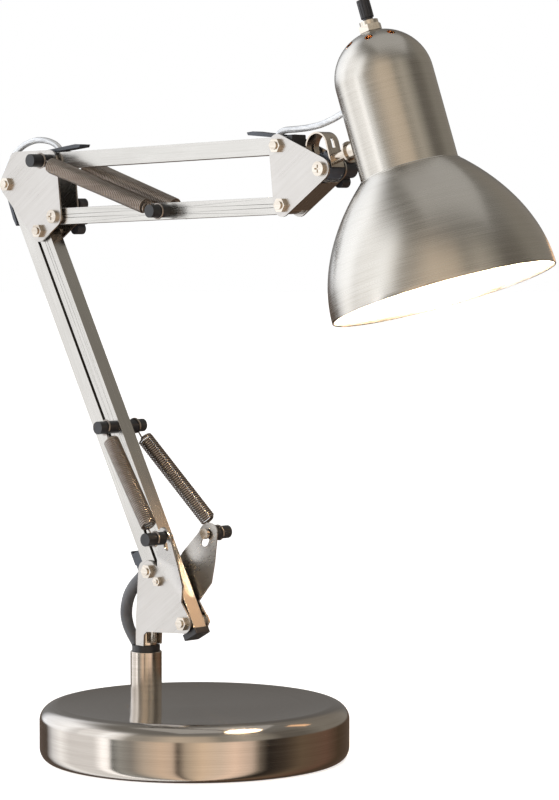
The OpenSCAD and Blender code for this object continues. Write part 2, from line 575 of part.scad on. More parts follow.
dome_top = dome_rise + neck_r;
module switch_collar() color(steel) shade_frame() difference() {
    union() {
        translate([0, 0, 46]) cylinder(r = nipple_r, h = dome_top - 42);
        translate([0, 0, dome_top - 0.35]) cylinder(d = 14, h = 4, $fn = 6);
        translate([0, 0, dome_top + 3.6]) cylinder(r = 5.6, h = 2.6);
    }
    translate([0, 0, dome_top + 1]) cylinder(r = 3 + run_gap, h = 10);
}
module switch_knob() color(black) shade_frame() {
    translate([0, 0, dome_top + 1.4]) cylinder(r = 3, h = 8);
    translate([0, 0, dome_top + 8.3]) difference() {
        cylinder(r = 3.9, h = 11);
        for (a = [0:30:330]) rotate([0, 0, a]) translate([4.1, 0, -1]) cylinder(r = 0.5, h = 13, $fn = 16);
    }
}
module lamp_socket() color([0.93, 0.92, 0.9]) shade_frame() difference() {
    union() {
        translate([0, 0, -12]) cylinder(r = 17, h = 45);
        translate([0, 0, 32.9]) cylinder(r1 = 17, r2 = 9, h = 20);
    }
    translate([0, 0, -14]) cylinder(r = 13.2, h = 34);
    translate([0, 0, 45.8]) cylinder(r = nipple_r + 0.02, h = 12);
}
// hollow globe on its cap, open only inside the holder
function globe(r) = [for (a = [30:-15:-75]) [r * cos(a), -54 + r * sin(a)]];
module bulb() color([1, 0.97, 0.9]) shade_frame() rotate_extrude() polygon(concat(
    [[9, 18], [13, 18], [13, -12], [14.2, -20]], globe(28), [[0, -82], [0, -81]], [for (k = [7:-1:0]) globe(27)[k]],
    [[13.2, -20], [12, -12], [12, 17], [9, 17]]));

base_shell();
base_weight();
base_pad();
post_tube();
post_nut();
post_bush();
cord_gland();
mains_lead();
mains_coil();
coil_tie();
plug_body();
plug_blades();
bracket_plates();
bracket_stem();
bracket_bolts();
bracket_washers();
ear_studs();
ear_sleeves();
cord_cover_low();
cord_cover_up();
lower_springs();
lower_outer_bar();
lower_cord_clips();
lower_inner_bar();
lower_bar_cap();
lower_post();
lower_post_sleeves();
elbow_plates();
elbow_bolts();
elbow_washers();
elbow_screw();
elbow_post();
elbow_post_sleeves();
cord_elbow_low();
cord_elbow_top();
upper_springs();
elbow_knob();
upper_top_bar();
upper_top_cap();
upper_cord_clip();
cord_head_start();
upper_bottom_bar();
upper_post();
upper_post_sleeves();
head_plates();
head_bolts();
head_washers();
head_screw();
cord_head_mid();
head_knob();
knuckle();
head_strap();
swivel_pin();
shade_shell();
shade_boss();
switch_collar();
lamp_socket();
bulb();
cord_head_end();
switch_knob();
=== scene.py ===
# Looks of the swing arm desk lamp: brushed nickel base and shade, satin bars,
# black plastic sleeves and knobs, wound springs and clear flex.
# The lamp's own sizes, outlines and routes are listed in millimetres and end in the frame's
# metres; the camera, the stage and the lights are in metres.
import json
import math
import bpy
from mathutils import Matrix, Vector


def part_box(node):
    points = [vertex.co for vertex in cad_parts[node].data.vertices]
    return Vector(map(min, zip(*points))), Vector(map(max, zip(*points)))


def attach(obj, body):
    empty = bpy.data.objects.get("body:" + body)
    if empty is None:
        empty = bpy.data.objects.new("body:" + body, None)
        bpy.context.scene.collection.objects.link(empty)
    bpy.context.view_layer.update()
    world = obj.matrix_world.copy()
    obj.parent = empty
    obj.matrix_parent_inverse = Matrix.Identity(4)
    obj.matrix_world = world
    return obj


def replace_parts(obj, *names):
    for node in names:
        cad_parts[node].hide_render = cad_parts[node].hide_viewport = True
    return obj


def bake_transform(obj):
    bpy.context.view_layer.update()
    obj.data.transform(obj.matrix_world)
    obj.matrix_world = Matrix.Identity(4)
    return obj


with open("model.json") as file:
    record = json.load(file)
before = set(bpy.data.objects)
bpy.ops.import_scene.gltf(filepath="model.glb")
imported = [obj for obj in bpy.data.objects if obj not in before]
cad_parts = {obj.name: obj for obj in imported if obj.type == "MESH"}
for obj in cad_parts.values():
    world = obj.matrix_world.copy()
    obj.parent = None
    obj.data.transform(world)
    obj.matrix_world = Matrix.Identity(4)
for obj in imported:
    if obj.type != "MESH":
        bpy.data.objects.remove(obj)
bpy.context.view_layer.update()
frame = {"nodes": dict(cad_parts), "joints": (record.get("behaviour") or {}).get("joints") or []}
nodes = frame["nodes"]
scene = bpy.context.scene
mm = 0.001
upAxis = Vector((0, 0, 1))
jointAt = {joint["name"]: Vector(joint["pos_m"]) for joint in frame["joints"]}
print("frame loaded,", len(nodes), "nodes")


def deselectAll():
    for ob in list(bpy.context.selected_objects):
        ob.select_set(False)


def activate(ob):
    deselectAll()
    ob.select_set(True)
    bpy.context.view_layer.objects.active = ob


def middle(node):
    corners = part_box(node)
    return (corners[0] + corners[1]) / 2


# the camera: azimuth from +X, then how far right, how high and how much it looks down
view = {"azimuth": -46.2, "distance": 2.0, "right": 0.0534, "height": 0.3461, "down": 3.445, "lens": 144.04}
deselectAll()
viewTurn = math.radians(view["azimuth"])
toCamera = Vector((math.cos(viewTurn), math.sin(viewTurn), 0))
toRight = Vector((-math.sin(viewTurn), math.cos(viewTurn), 0))
viewPlace = toCamera * view["distance"] + toRight * view["right"] + upAxis * view["height"]
lookDown = math.radians(view["down"])
look = -toCamera * math.cos(lookDown) - upAxis * math.sin(lookDown)
bpy.ops.object.camera_add(location=viewPlace, rotation=look.to_track_quat("-Z", "Y").to_euler())
camera = bpy.context.active_object
camera.name = "deskCamera"
camera.data.lens = view["lens"]
camera.data.sensor_width = 36
camera.data.dof.use_dof = False
scene.camera = camera


def smoothRoute(points, steps):
    # a curve through every point, steps to a span
    pts = [Vector(p) for p in points]
    out = []
    for i in range(len(pts) - 1):
        a, b = pts[max(i - 1, 0)], pts[i]
        c, d = pts[i + 1], pts[min(i + 2, len(pts) - 1)]
        for k in range(steps):
            t = k / steps
            bend = (2 * a - 5 * b + 4 * c - d) * t * t + (3 * b - a - 3 * c + d) * t * t * t
            out.append(0.5 * (2 * b + (c - a) * t + bend))
    out.append(pts[-1])
    return out


def roundWire(name, points, radius, material, sides=4, keepCurve=False, swell=None):
    # a round tube on a route; swell is its thickness factor at each point
    curve = bpy.data.curves.new(name, "CURVE")
    curve.dimensions = "3D"
    curve.bevel_depth = radius
    curve.bevel_resolution = sides
    curve.use_fill_caps = True
    spline = curve.splines.new("POLY")
    spline.points.add(len(points) - 1)
    for slot, p in zip(spline.points, points):
        slot.co = (*p, 1)
    if swell:
        for slot, factor in zip(spline.points, swell):
            slot.radius = factor
    spline.use_smooth = True
    ob = bpy.data.objects.new(name, curve)
    scene.collection.objects.link(ob)
    curve.materials.append(material)
    if not keepCurve:
        activate(ob)
        bpy.ops.object.convert(target="MESH")
        ob = bpy.context.view_layer.objects.active
        bpy.ops.object.shade_smooth()
    return ob


def turned(name, outline, steps, place, smoothAngle, closed=False):
    # an outline of (radius, height) in millimetres, spun round Z and then put in place
    curve = bpy.data.curves.new(name, "CURVE")
    curve.dimensions = "3D"
    spline = curve.splines.new("POLY")
    spline.points.add(len(outline) - 1)
    for slot, (r, z) in zip(spline.points, outline):
        slot.co = (r * mm, 0, z * mm, 1)
    spline.use_cyclic_u = closed
    ob = bpy.data.objects.new(name, curve)
    scene.collection.objects.link(ob)
    activate(ob)
    bpy.ops.object.convert(target="MESH")
    ob = bpy.context.view_layer.objects.active
    bpy.ops.object.mode_set(mode="EDIT")
    bpy.ops.mesh.select_all(action="SELECT")
    bpy.ops.mesh.spin(steps=steps, angle=2 * math.pi, center=(0, 0, 0), axis=(0, 0, 1))
    bpy.ops.mesh.select_all(action="SELECT")
    bpy.ops.mesh.remove_doubles(threshold=1e-6)
    bpy.ops.mesh.normals_make_consistent(inside=False)
    bpy.ops.object.mode_set(mode="OBJECT")
    ob.data.transform(place)
    bpy.ops.object.shade_smooth_by_angle(angle=math.radians(smoothAngle))
    return ob


# the nodes that all the finishes share
def startMaterial(name):
    mat = bpy.data.materials.new(name)
    mat.use_nodes = True
    return mat, mat.node_tree, mat.node_tree.nodes["Principled BSDF"]


def addNode(tree, kind, **values):
    node = tree.nodes.new(kind)
    for key, value in values.items():
        setattr(node, key, value)
    return node


def maths(tree, operation, a, b=None):
    node = addNode(tree, "ShaderNodeMath", operation=operation)
    for socket, value in ((node.inputs[0], a), (node.inputs[1], b)):
        if value is None:
            continue
        if isinstance(value, (int, float)):
            socket.default_value = value
        else:
            tree.links.new(value, socket)
    return node.outputs[0]


def mixOf(tree, a, b, share):
    # share of a, and the rest of b
    return maths(tree, "ADD", maths(tree, "MULTIPLY", a, share), maths(tree, "MULTIPLY", b, 1 - share))


def placedCoords(tree, loc=(0, 0, 0), rot=(0, 0, 0)):
    # object coordinates brought into a piece's own axes
    coords = addNode(tree, "ShaderNodeTexCoord")
    mapping = addNode(tree, "ShaderNodeMapping", vector_type="TEXTURE")
    mapping.inputs["Location"].default_value = loc
    mapping.inputs["Rotation"].default_value = rot
    tree.links.new(coords.outputs["Object"], mapping.inputs["Vector"])
    return mapping.outputs["Vector"]


def noiseAt(tree, vector, scale, detail, rough=0.5, stretch=(1, 1, 1)):
    mapping = addNode(tree, "ShaderNodeMapping")
    mapping.inputs["Scale"].default_value = stretch
    tree.links.new(vector, mapping.inputs["Vector"])
    noise = addNode(tree, "ShaderNodeTexNoise")
    noise.inputs["Scale"].default_value = scale
    noise.inputs["Detail"].default_value = detail
    noise.inputs["Roughness"].default_value = rough
    tree.links.new(mapping.outputs["Vector"], noise.inputs["Vector"])
    return noise.outputs["Fac"]


def ramp(tree, fac, stops):
    node = addNode(tree, "ShaderNodeValToRGB")
    while len(node.color_ramp.elements) < len(stops):
        node.color_ramp.elements.new(1.0)
    for element, (pos, colour) in zip(node.color_ramp.elements, stops):
        element.position = pos
        element.color = (*colour, 1)
    tree.links.new(fac, node.inputs["Fac"])
    return node.outputs["Color"]


def spread(tree, fac, least, most):
    # the middle of a noise, from 0.3 to 0.7, drawn out from least to most
    node = addNode(tree, "ShaderNodeMapRange")
    node.inputs["From Min"].default_value = 0.3
    node.inputs["From Max"].default_value = 0.7
    node.inputs["To Min"].default_value = least
    node.inputs["To Max"].default_value = most
    tree.links.new(fac, node.inputs["Value"])
    return node.outputs["Result"]


def paint(tree, bsdf, fac, start, end, look):
    colour = ramp(tree, fac, [(start, look["dark"]), (end, look["light"])])
    tree.links.new(colour, bsdf.inputs["Base Color"])


def roughen(tree, bsdf, fac, look, under, over):
    tree.links.new(spread(tree, fac, look["rough"] - under, look["rough"] + over), bsdf.inputs["Roughness"])


def bumpFrom(tree, bsdf, height, strength, distance=0.0002):
    bump = addNode(tree, "ShaderNodeBump")
    bump.inputs["Strength"].default_value = strength
    bump.inputs["Distance"].default_value = distance
    tree.links.new(height, bump.inputs["Height"])
    tree.links.new(bump.outputs["Normal"], bsdf.inputs["Normal"])


# spun metal: fine rings round the piece's axis
rings = {"slope": 0.83, "along": 9.0, "fine": 2.2, "broad": 0.3, "cloud": 16.0}


def ringPattern(tree, local, lines):
    split = addNode(tree, "ShaderNodeSeparateXYZ")
    tree.links.new(local, split.inputs[0])
    x, y, z = split.outputs
    squares = maths(tree, "ADD", maths(tree, "MULTIPLY", x, x), maths(tree, "MULTIPLY", y, y))
    radius = maths(tree, "SQRT", squares)
    across = maths(tree, "ADD", radius, maths(tree, "MULTIPLY", z, rings["slope"]))
    combined = addNode(tree, "ShaderNodeCombineXYZ")
    tree.links.new(maths(tree, "MULTIPLY", x, rings["along"]), combined.inputs[0])
    tree.links.new(maths(tree, "MULTIPLY", y, rings["along"]), combined.inputs[1])
    tree.links.new(maths(tree, "MULTIPLY", across, lines), combined.inputs[2])
    fine = noiseAt(tree, combined.outputs[0], rings["fine"], 4.0, 0.6)
    broad = noiseAt(tree, combined.outputs[0], rings["broad"], 2.0, 0.5)
    return mixOf(tree, fine, broad, 0.6)


def drawHighlight(tree, bsdf, loc, rot, amount):
    # the tangent runs round the axis, so the highlight is drawn out across the rings
    axis = Matrix.Rotation(rot[1], 3, "Y") @ Matrix.Rotation(rot[0], 3, "X") @ upAxis
    coords = addNode(tree, "ShaderNodeTexCoord")
    outward = addNode(tree, "ShaderNodeVectorMath", operation="SUBTRACT")
    outward.inputs[1].default_value = loc
    tree.links.new(coords.outputs["Object"], outward.inputs[0])
    around = addNode(tree, "ShaderNodeVectorMath", operation="CROSS_PRODUCT")
    around.inputs[0].default_value = axis
    tree.links.new(outward.outputs[0], around.inputs[1])
    toWorld = addNode(tree, "ShaderNodeVectorTransform", vector_type="VECTOR",
                      convert_from="OBJECT", convert_to="WORLD")
    tree.links.new(around.outputs[0], toWorld.inputs[0])
    unit = addNode(tree, "ShaderNodeVectorMath", operation="NORMALIZE")
    tree.links.new(toWorld.outputs[0], unit.inputs[0])
    tree.links.new(unit.outputs[0], bsdf.inputs["Tangent"])
    bsdf.inputs["Anisotropic"].default_value = amount
    bsdf.inputs["Anisotropic Rotation"].default_value = 0.25


def spunMetal(name, look, loc=(0, 0, 0), rot=(0, 0, 0)):
    mat, tree, bsdf = startMaterial(name)
    local = placedCoords(tree, loc, rot)
    pattern = ringPattern(tree, local, look["lines"])
    cloud = noiseAt(tree, local, rings["cloud"], 3.0)
    paint(tree, bsdf, mixOf(tree, pattern, cloud, 0.8), 0.32, 0.66, look)
    roughen(tree, bsdf, pattern, look, 0.05, 0.06)
    bsdf.inputs["Metallic"].default_value = 1.0
    drawHighlight(tree, bsdf, loc, rot, look["drawn"])
    bumpFrom(tree, bsdf, pattern, look.get("bump", 0.1))
    return mat


def drawnMetal(name, look, rot=(0, 0, 0)):
    # straight brush lines along the piece's own X
    mat, tree, bsdf = startMaterial(name)
    local = placedCoords(tree, (0, 0, 0), rot)
    lines = noiseAt(tree, local, look["lines"], 4.0, 0.65, (0.03, 1, 1))
    cloud = noiseAt(tree, local, 28.0, 3.0)
    specks = noiseAt(tree, local, 900.0, 2.0)
    mixed = mixOf(tree, lines, cloud, 0.55)
    paint(tree, bsdf, mixed, 0.34, 0.64, look)
    roughen(tree, bsdf, mixed, look, 0.05, 0.07)
    bsdf.inputs["Metallic"].default_value = 1.0
    height = maths(tree, "ADD", lines, maths(tree, "MULTIPLY", specks, 0.15))
    bumpFrom(tree, bsdf, height, look.get("bump", 0.10))
    return mat


def mouldedPlastic(name, look):
    mat, tree, bsdf = startMaterial(name)
    local = placedCoords(tree)
    grain = noiseAt(tree, local, 1400.0, 3.0, 0.6)
    cloud = noiseAt(tree, local, 60.0, 3.0)
    paint(tree, bsdf, cloud, 0.35, 0.7, look)
    roughen(tree, bsdf, cloud, look, 0.06, 0.08)
    bumpFrom(tree, bsdf, grain, look.get("bump", 0.15), 0.00015)
    return mat


def enamel(name, look):
    mat, tree, bsdf = startMaterial(name)
    peel = noiseAt(tree, placedCoords(tree), 260.0, 2.0)
    paint(tree, bsdf, peel, 0.3, 0.7, look)
    bsdf.inputs["Roughness"].default_value = look["rough"]
    if "glow" in look:
        glow = ramp(tree, peel, [(0.3, look["glowDark"]), (0.7, look["glowLight"])])
        tree.links.new(glow, bsdf.inputs["Emission Color"])
        bsdf.inputs["Emission Strength"].default_value = look["glow"]
    bumpFrom(tree, bsdf, peel, 0.08)
    return mat


def clearFlex(name):
    # bright strands seen through clear sheathing
    strandColours = [(0.3, (0.50, 0.52, 0.55)), (0.5, (0.64, 0.66, 0.69)), (0.7, (0.74, 0.76, 0.79))]
    mat, tree, bsdf = startMaterial(name)
    strands = noiseAt(tree, placedCoords(tree), 700.0, 2.0, 0.5, (0.25, 1.6, 1))
    tree.links.new(ramp(tree, strands, strandColours), bsdf.inputs["Base Color"])
    bsdf.inputs["Metallic"].default_value = 0.35
    bsdf.inputs["Roughness"].default_value = 0.28
    bsdf.inputs["Coat Weight"].default_value = 0.9
    bsdf.inputs["Coat Roughness"].default_value = 0.08
    bumpFrom(tree, bsdf, strands, 0.06)
    return mat


# the shade's own axes: tilted about the head screw, then rolled about its pin
pose = {"tilt": 17, "roll": 4.2, "reach": 59.6, "rise": 4.5}
headTilt, shadeRoll = math.radians(pose["tilt"]), math.radians(pose["roll"])
tiltFrame = Matrix.Translation(jointAt["head_tilt"]) @ Matrix.Rotation(-headTilt, 4, "Y")
pinEnd = Matrix.Translation((pose["reach"] * mm, 0, pose["rise"] * mm))
shadeFrame = tiltFrame @ pinEnd @ Matrix.Rotation(shadeRoll, 4, "X")
shadeRot = (shadeRoll, -headTilt, 0)
postPlace = (jointAt["post_turn"].x, 0, 0)
lowerArmRot = (0, -math.radians(90 + 28.5), 0)
upperArmRot = (0, math.radians(-2), 0)
plateRot = (0, math.radians(-35), 0)

# finishes: brush lines to a metre, darkest and lightest colour, roughness and bump
baseLook = {"lines": 1500.0, "dark": (0.38, 0.345, 0.31), "light": (0.48, 0.445, 0.405),
            "rough": 0.11, "drawn": 0.86}
shadeLook = {"lines": 1700.0, "dark": (0.44, 0.415, 0.375), "light": (0.53, 0.505, 0.465),
             "rough": 0.26, "drawn": 0.65, "bump": 0.05}
postLook = {"lines": 1600.0, "dark": (0.40, 0.355, 0.31), "light": (0.54, 0.49, 0.44),
            "rough": 0.15, "drawn": 0.3}
barLook = {"lines": 900.0, "dark": (0.46, 0.445, 0.42), "light": (0.53, 0.515, 0.49),
           "rough": 0.24, "bump": 0.03}
plateLook = {"lines": 700.0, "dark": (0.44, 0.42, 0.395), "light": (0.51, 0.49, 0.47),
             "rough": 0.28, "bump": 0.03}
boltLook = {"lines": 500.0, "dark": (0.42, 0.36, 0.30), "light": (0.70, 0.65, 0.58), "rough": 0.18}
strapLook = {**boltLook, "light": (0.66, 0.60, 0.53), "rough": 0.2}
springLook = {"lines": 600.0, "dark": (0.20, 0.17, 0.15), "light": (0.38, 0.34, 0.31), "rough": 0.33}
# painted shade: a dark warm brown for the inside of the shade's dome, standing in for the shade there and behind
# the vents
domeShadeLook = {"lines": 500.0, "dark": (0.16, 0.07, 0.03), "light": (0.30, 0.14, 0.06), "rough": 0.5}
ironLook = {"lines": 300.0, "dark": (0.05, 0.05, 0.05), "light": (0.16, 0.15, 0.14),
            "rough": 0.6, "bump": 0.6}
blackLook = {"dark": (0.008, 0.008, 0.010), "light": (0.022, 0.023, 0.027), "rough": 0.36}
tongueLook = {"dark": (0.030, 0.036, 0.048), "light": (0.060, 0.070, 0.090), "rough": 0.33}
knobLook = {"dark": (0.010, 0.010, 0.013), "light": (0.030, 0.031, 0.038), "rough": 0.42, "bump": 0.3}
sleeveLook = {"dark": (0.055, 0.057, 0.064), "light": (0.15, 0.155, 0.17), "rough": 0.5, "bump": 0.4}
padLook = {"dark": (0.010, 0.010, 0.010), "light": (0.025, 0.025, 0.025), "rough": 0.8, "bump": 0.6}
whiteLook = {"dark": (0.88, 0.86, 0.83), "light": (0.95, 0.94, 0.92), "rough": 0.35}
holderLook = {"dark": (0.80, 0.78, 0.74), "light": (0.88, 0.87, 0.84), "rough": 0.3}
bulbLook = {"dark": (0.92, 0.90, 0.86), "light": (0.97, 0.96, 0.93), "rough": 0.4,
            "glow": 24.0, "glowDark": (1.0, 0.80, 0.58), "glowLight": (1.0, 0.86, 0.66)}

spunBase = spunMetal("spunNickelBase", baseLook)
spunShade = spunMetal("spunNickelShade", shadeLook, tuple(shadeFrame.translation), shadeRot)
spunPost = spunMetal("spunNickelPost", postLook, postPlace)
barLower = drawnMetal("satinBarLower", barLook, lowerArmRot)
barUpper = drawnMetal("satinBarUpper", barLook, upperArmRot)
plateMetal = drawnMetal("satinPlate", plateLook, plateRot)
boltMetal = drawnMetal("brightNickel", boltLook)
strapMetal = drawnMetal("strapNickel", strapLook, shadeRot)
springMetal = drawnMetal("springWire", springLook)
# the painted shade material for the dome's inside
domeShadeMetal = drawnMetal("paintedShadeDome", domeShadeLook)
ironMetal = drawnMetal("castIron", ironLook)
blackPlastic = mouldedPlastic("blackPlastic", blackLook)
tonguePlastic = mouldedPlastic("tonguePlastic", tongueLook)
knobPlastic = mouldedPlastic("knobPlastic", knobLook)
sleeveRubber = mouldedPlastic("greySleeve", sleeveLook)
padRubber = mouldedPlastic("padRubber", padLook)
flexSheath = clearFlex("clearFlex")
whiteEnamel = enamel("whiteEnamel", whiteLook)
holderWhite = enamel("holderWhite", holderLook)
litGlass = enamel("litGlass", bulbLook)
print("materials made")

# the mains lead: out of the gland, wound into a coil behind the base, and back to the plug.
# Layers are wound from radius to radius; the last turn climbs over them and down outside.
lead = {"turn": 134, "diameter": 5, "centre": (165, 32), "length": 1.8, "firstLayer": 2.6,
        "start": [(121.5, 0, 9), (124, 0, 8.9), (128, -0.3, 8), (132, -0.8, 6.2), (136, -1.5, 4.2),
                  (140, -2.3, 2.9), (147, -3.4, 2.6), (156, -4, 2.6)],
        "layers": [(36, 31, 26, 21), (21, 26, 31, 36), (36, 31)],
        "over": [(3120, 26, 12.6), (3150, 26.5, 15.6), (3175, 28.5, 17.7), (3215, 36, 17.7),
                 (3235, 40.5, 16.8), (3260, 41.5, 11.5), (3300, 41.5, 3.2), (3330, 41.4, 2.6), (3420, 41.5, 2.6)],
        "end": [(158, 73.5, 2.9), (151, 73.5, 4), (145, 73.5, 5.8), (139, 73.5, 7.6), (134, 73.5, 8.5),
                (128, 73.5, 8.6)]}


def windings():
    # (angle, radius, height) where each turn starts and stops running level
    marks, angle = [], 0
    for layer, radii in enumerate(lead["layers"]):
        z = lead["firstLayer"] + layer * lead["diameter"]
        for k, r in enumerate(radii):
            rising = k == len(radii) - 1 and layer < len(lead["layers"]) - 1
            risen = k == 0 and layer > 0
            level = 120 if rising or risen else 240
            marks += [(angle, r, z), (angle + level, r, z)]
            angle += level + 120
    return marks + lead["over"]


def coilPoints():
    out = []
    marks = windings()
    cx, cy = lead["centre"]
    for (a0, r0, z0), (a1, r1, z1) in zip(marks, marks[1:]):
        count = max(2, round((a1 - a0) / 10))
        for k in range(count):
            t = k / count
            s = t * t * (3 - 2 * t)
            a = math.radians(a0 + (a1 - a0) * t - 90)
            r, z = r0 + (r1 - r0) * s, z0 + (z1 - z0) * s
            out.append((cx + r * math.cos(a), cy + r * math.sin(a), z))
    return out


leadTurn = Matrix.Rotation(math.radians(lead["turn"]), 4, "Z")
leadPoints = [leadTurn @ (p * mm) for p in smoothRoute(lead["start"] + coilPoints() + lead["end"], 2)]
leadLength = sum((b - a).length for a, b in zip(leadPoints, leadPoints[1:]))
mainsLead = roundWire("mainsLead", leadPoints, lead["diameter"] * mm / 2, flexSheath, keepCurve=True)
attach(mainsLead, "base")
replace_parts(mainsLead, "mains_lead", "mains_coil")
print("mains lead done, metres:", round(leadLength, 4))


# the pieces that keep their shape, with a finish and softened edges
def dress(name, material, edge, segments=2):
    sharp = math.radians(32)
    ob = nodes[name]
    ob.data.materials.clear()
    ob.data.materials.append(material)
    activate(ob)
    bpy.ops.mesh.customdata_custom_splitnormals_clear()
    bpy.ops.object.shade_smooth_by_angle(angle=sharp)
    join = ob.modifiers.new("join", "WELD")
    join.merge_threshold = 1e-6
    soften = ob.modifiers.new("soften", "BEVEL")
    soften.width = edge * mm
    soften.segments = segments
    soften.limit_method = "ANGLE"
    soften.angle_limit = sharp
    soften.harden_normals = True


# finish, edge width in millimetres, and the nodes that have them
hardware = [
    (barLower, 0.5, ("lower_outer_bar", "lower_inner_bar")),
    (barUpper, 0.5, ("upper_top_bar", "upper_bottom_bar")),
    (plateMetal, 0.2, ("bracket_plates", "elbow_plates", "head_plates")),
    (plateMetal, 0.2, ("bracket_washers", "elbow_washers", "head_washers")),
    (boltMetal, 0.3, ("bracket_bolts", "elbow_bolts", "head_bolts", "elbow_screw", "head_screw")),
    (boltMetal, 0.3, ("ear_studs", "lower_post", "upper_post", "elbow_post", "swivel_pin")),
    (boltMetal, 0.3, ("bracket_stem", "switch_collar", "plug_blades")),
    (boltMetal, 0.4, ("shade_boss",)),
    (strapMetal, 0.2, ("head_strap",)),
    (spunPost, 0.4, ("post_tube",)),
    (ironMetal, 0.6, ("post_nut",)),
    (ironMetal, 1.0, ("base_weight",)),
    (padRubber, 0.5, ("base_pad",)),
    (blackPlastic, 0.6, ("ear_sleeves", "lower_post_sleeves", "upper_post_sleeves", "elbow_post_sleeves")),
    (blackPlastic, 0.6, ("lower_bar_cap", "upper_top_cap", "post_bush", "cord_gland", "plug_body")),
    (blackPlastic, 0.4, ("coil_tie",)),
    (tonguePlastic, 0.3, ("lower_cord_clips", "upper_cord_clip")),
    (tonguePlastic, 0.4, ("knuckle",)),
    (knobPlastic, 0.4, ("switch_knob",)),
    (holderWhite, 1.0, ("lamp_socket",)),
]
for material, edge, names in hardware:
    for name in names:
        dress(name, material, edge)
for name in ("elbow_knob", "head_knob"):
    dress(name, knobPlastic, 0.9, 3)
print("hardware dressed")

# the base: a rounded foot, a steep side, a rounded shoulder and a slightly dished top
base = {"radius": 97.5, "height": 35.0, "gap": 0.2, "foot": 6.0, "footRise": 7.8, "lipIn": 11.0,
        "shoulder": 10.0, "dish": 2.2, "wall": 1.2, "steps": 256}
lipRadius = base["radius"] - base["lipIn"]


def dishHeight(r):
    return base["height"] - base["dish"] * (1 - (r / lipRadius) ** 4)


def baseSide(inset):
    # quarter arcs for the foot and the shoulder, with the side between them
    edge, shoulderAt = base["radius"] - inset, base["height"] - base["shoulder"]
    out = []
    for k in range(13):
        a = math.pi / 2 * k / 12
        rise = base["footRise"] * (1 - math.cos(a))
        out.append((edge - base["foot"] * (1 - math.sin(a)), base["gap"] + inset + rise))
    for k in range(25):
        a = math.pi / 2 * k / 24
        rise = (base["shoulder"] - inset) * math.sin(a)
        out.append((edge - base["lipIn"] * (1 - math.cos(a)), shoulderAt + rise))
    return out


dishRadii = [(lipRadius - 1) * k / 40 for k in range(41)]
dish = [(r, dishHeight(r)) for r in dishRadii]
under = [(r, z - base["wall"]) for r, z in dish if r < lipRadius - 2]
innerSide = baseSide(base["wall"])[::-1][1:-4]
footEdge = [(base["radius"] - base["foot"] - 0.4, base["gap"])]
baseOutline = under + innerSide + footEdge + baseSide(0) + dish[::-1]
baseShell = turned("baseShell", baseOutline, base["steps"], Matrix.Identity(4), 30)
baseShell.data.materials.append(spunBase)
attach(baseShell, "base")
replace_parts(baseShell, "base_shell")
print("base done")

# the shade: a bell below the seam, a straight neck, and a dome left open for the switch
shade = {"neck": 29.4, "seam": 30.5, "mouth": 67.6, "seamDrop": 25.0, "mouthDrop": 100.0, "domeRise": 32.0,
         "wall": 1.0, "top": 5.1, "belly": 0.45, "tuck": 0.42, "flare": 0.19, "lip": 0.45, "lipBand": 2.4,
         "paintedShadeFrom": 12.0, "steps": 192}
vent = {"count": 8, "first": 32, "radius": 2.5, "lean": 38, "rise": 32, "depth": 30}


def bezier(a, b, c, d, t):
    return (1 - t) ** 3 * a + 3 * t * (1 - t) ** 2 * b + 3 * t * t * (1 - t) * c + t ** 3 * d


def bellOutline(inset):
    # from the mouth up to the seam; the first point is lifted to leave room for the lip
    tall, wide = shade["mouthDrop"] - shade["seamDrop"], shade["mouth"] - shade["seam"]
    mouth, seam = shade["mouth"] - inset, shade["seam"] - inset
    bottom, top = -shade["mouthDrop"], -shade["seamDrop"]
    out = []
    for k in range(41):
        t = k / 40
        out.append((bezier(mouth, mouth, seam + shade["tuck"] * wide, seam, t),
                    bezier(bottom, bottom + shade["belly"] * tall, top - shade["flare"] * tall, top, t)))
    out[0] = (out[0][0], out[0][1] + shade["lip"])
    return out


def domeOutline(inset):
    r = shade["neck"] - inset
    end = math.acos(shade["top"] / r)
    return [(r * math.cos(end * k / 24), shade["domeRise"] + r * math.sin(end * k / 24)) for k in range(25)]


lipShape = [(0.88, 0.12), (0.5, 0), (0.12, 0.12)]
lipTurn = [(shade["mouth"] - back, -shade["mouthDrop"] + up) for back, up in lipShape]
seamStep = [(shade["seam"] - 0.05, -shade["seamDrop"] + 0.25),
            (shade["neck"] + 0.35, -shade["seamDrop"] + 0.6), (shade["neck"], -shade["seamDrop"] + 1.1)]
neckOutside = [(shade["neck"], z) for z in (-15, 0, 15, 28)]
neckInside = [(shade["neck"] - shade["wall"], z) for z in (28, 15, 0, -15, -24)]
outside = bellOutline(0) + seamStep + neckOutside + domeOutline(0)
inside = domeOutline(shade["wall"])[::-1] + neckInside + bellOutline(shade["wall"])[::-1]
shadeShell = turned("shadeShell", outside + inside + lipTurn, shade["steps"], shadeFrame, 28, closed=True)


def drill(place, radius, depth):
    bpy.ops.mesh.primitive_cylinder_add(vertices=32, radius=radius * mm, depth=depth * mm)
    cutter = bpy.context.active_object
    cutter.data.transform(place)
    cut = shadeShell.modifiers.new("hole", "BOOLEAN")
    cut.operation = "DIFFERENCE"
    cut.object = cutter
    cut.solver = "EXACT"
    activate(shadeShell)
    bpy.ops.object.modifier_apply(modifier=cut.name)
    bpy.data.objects.remove(cutter)


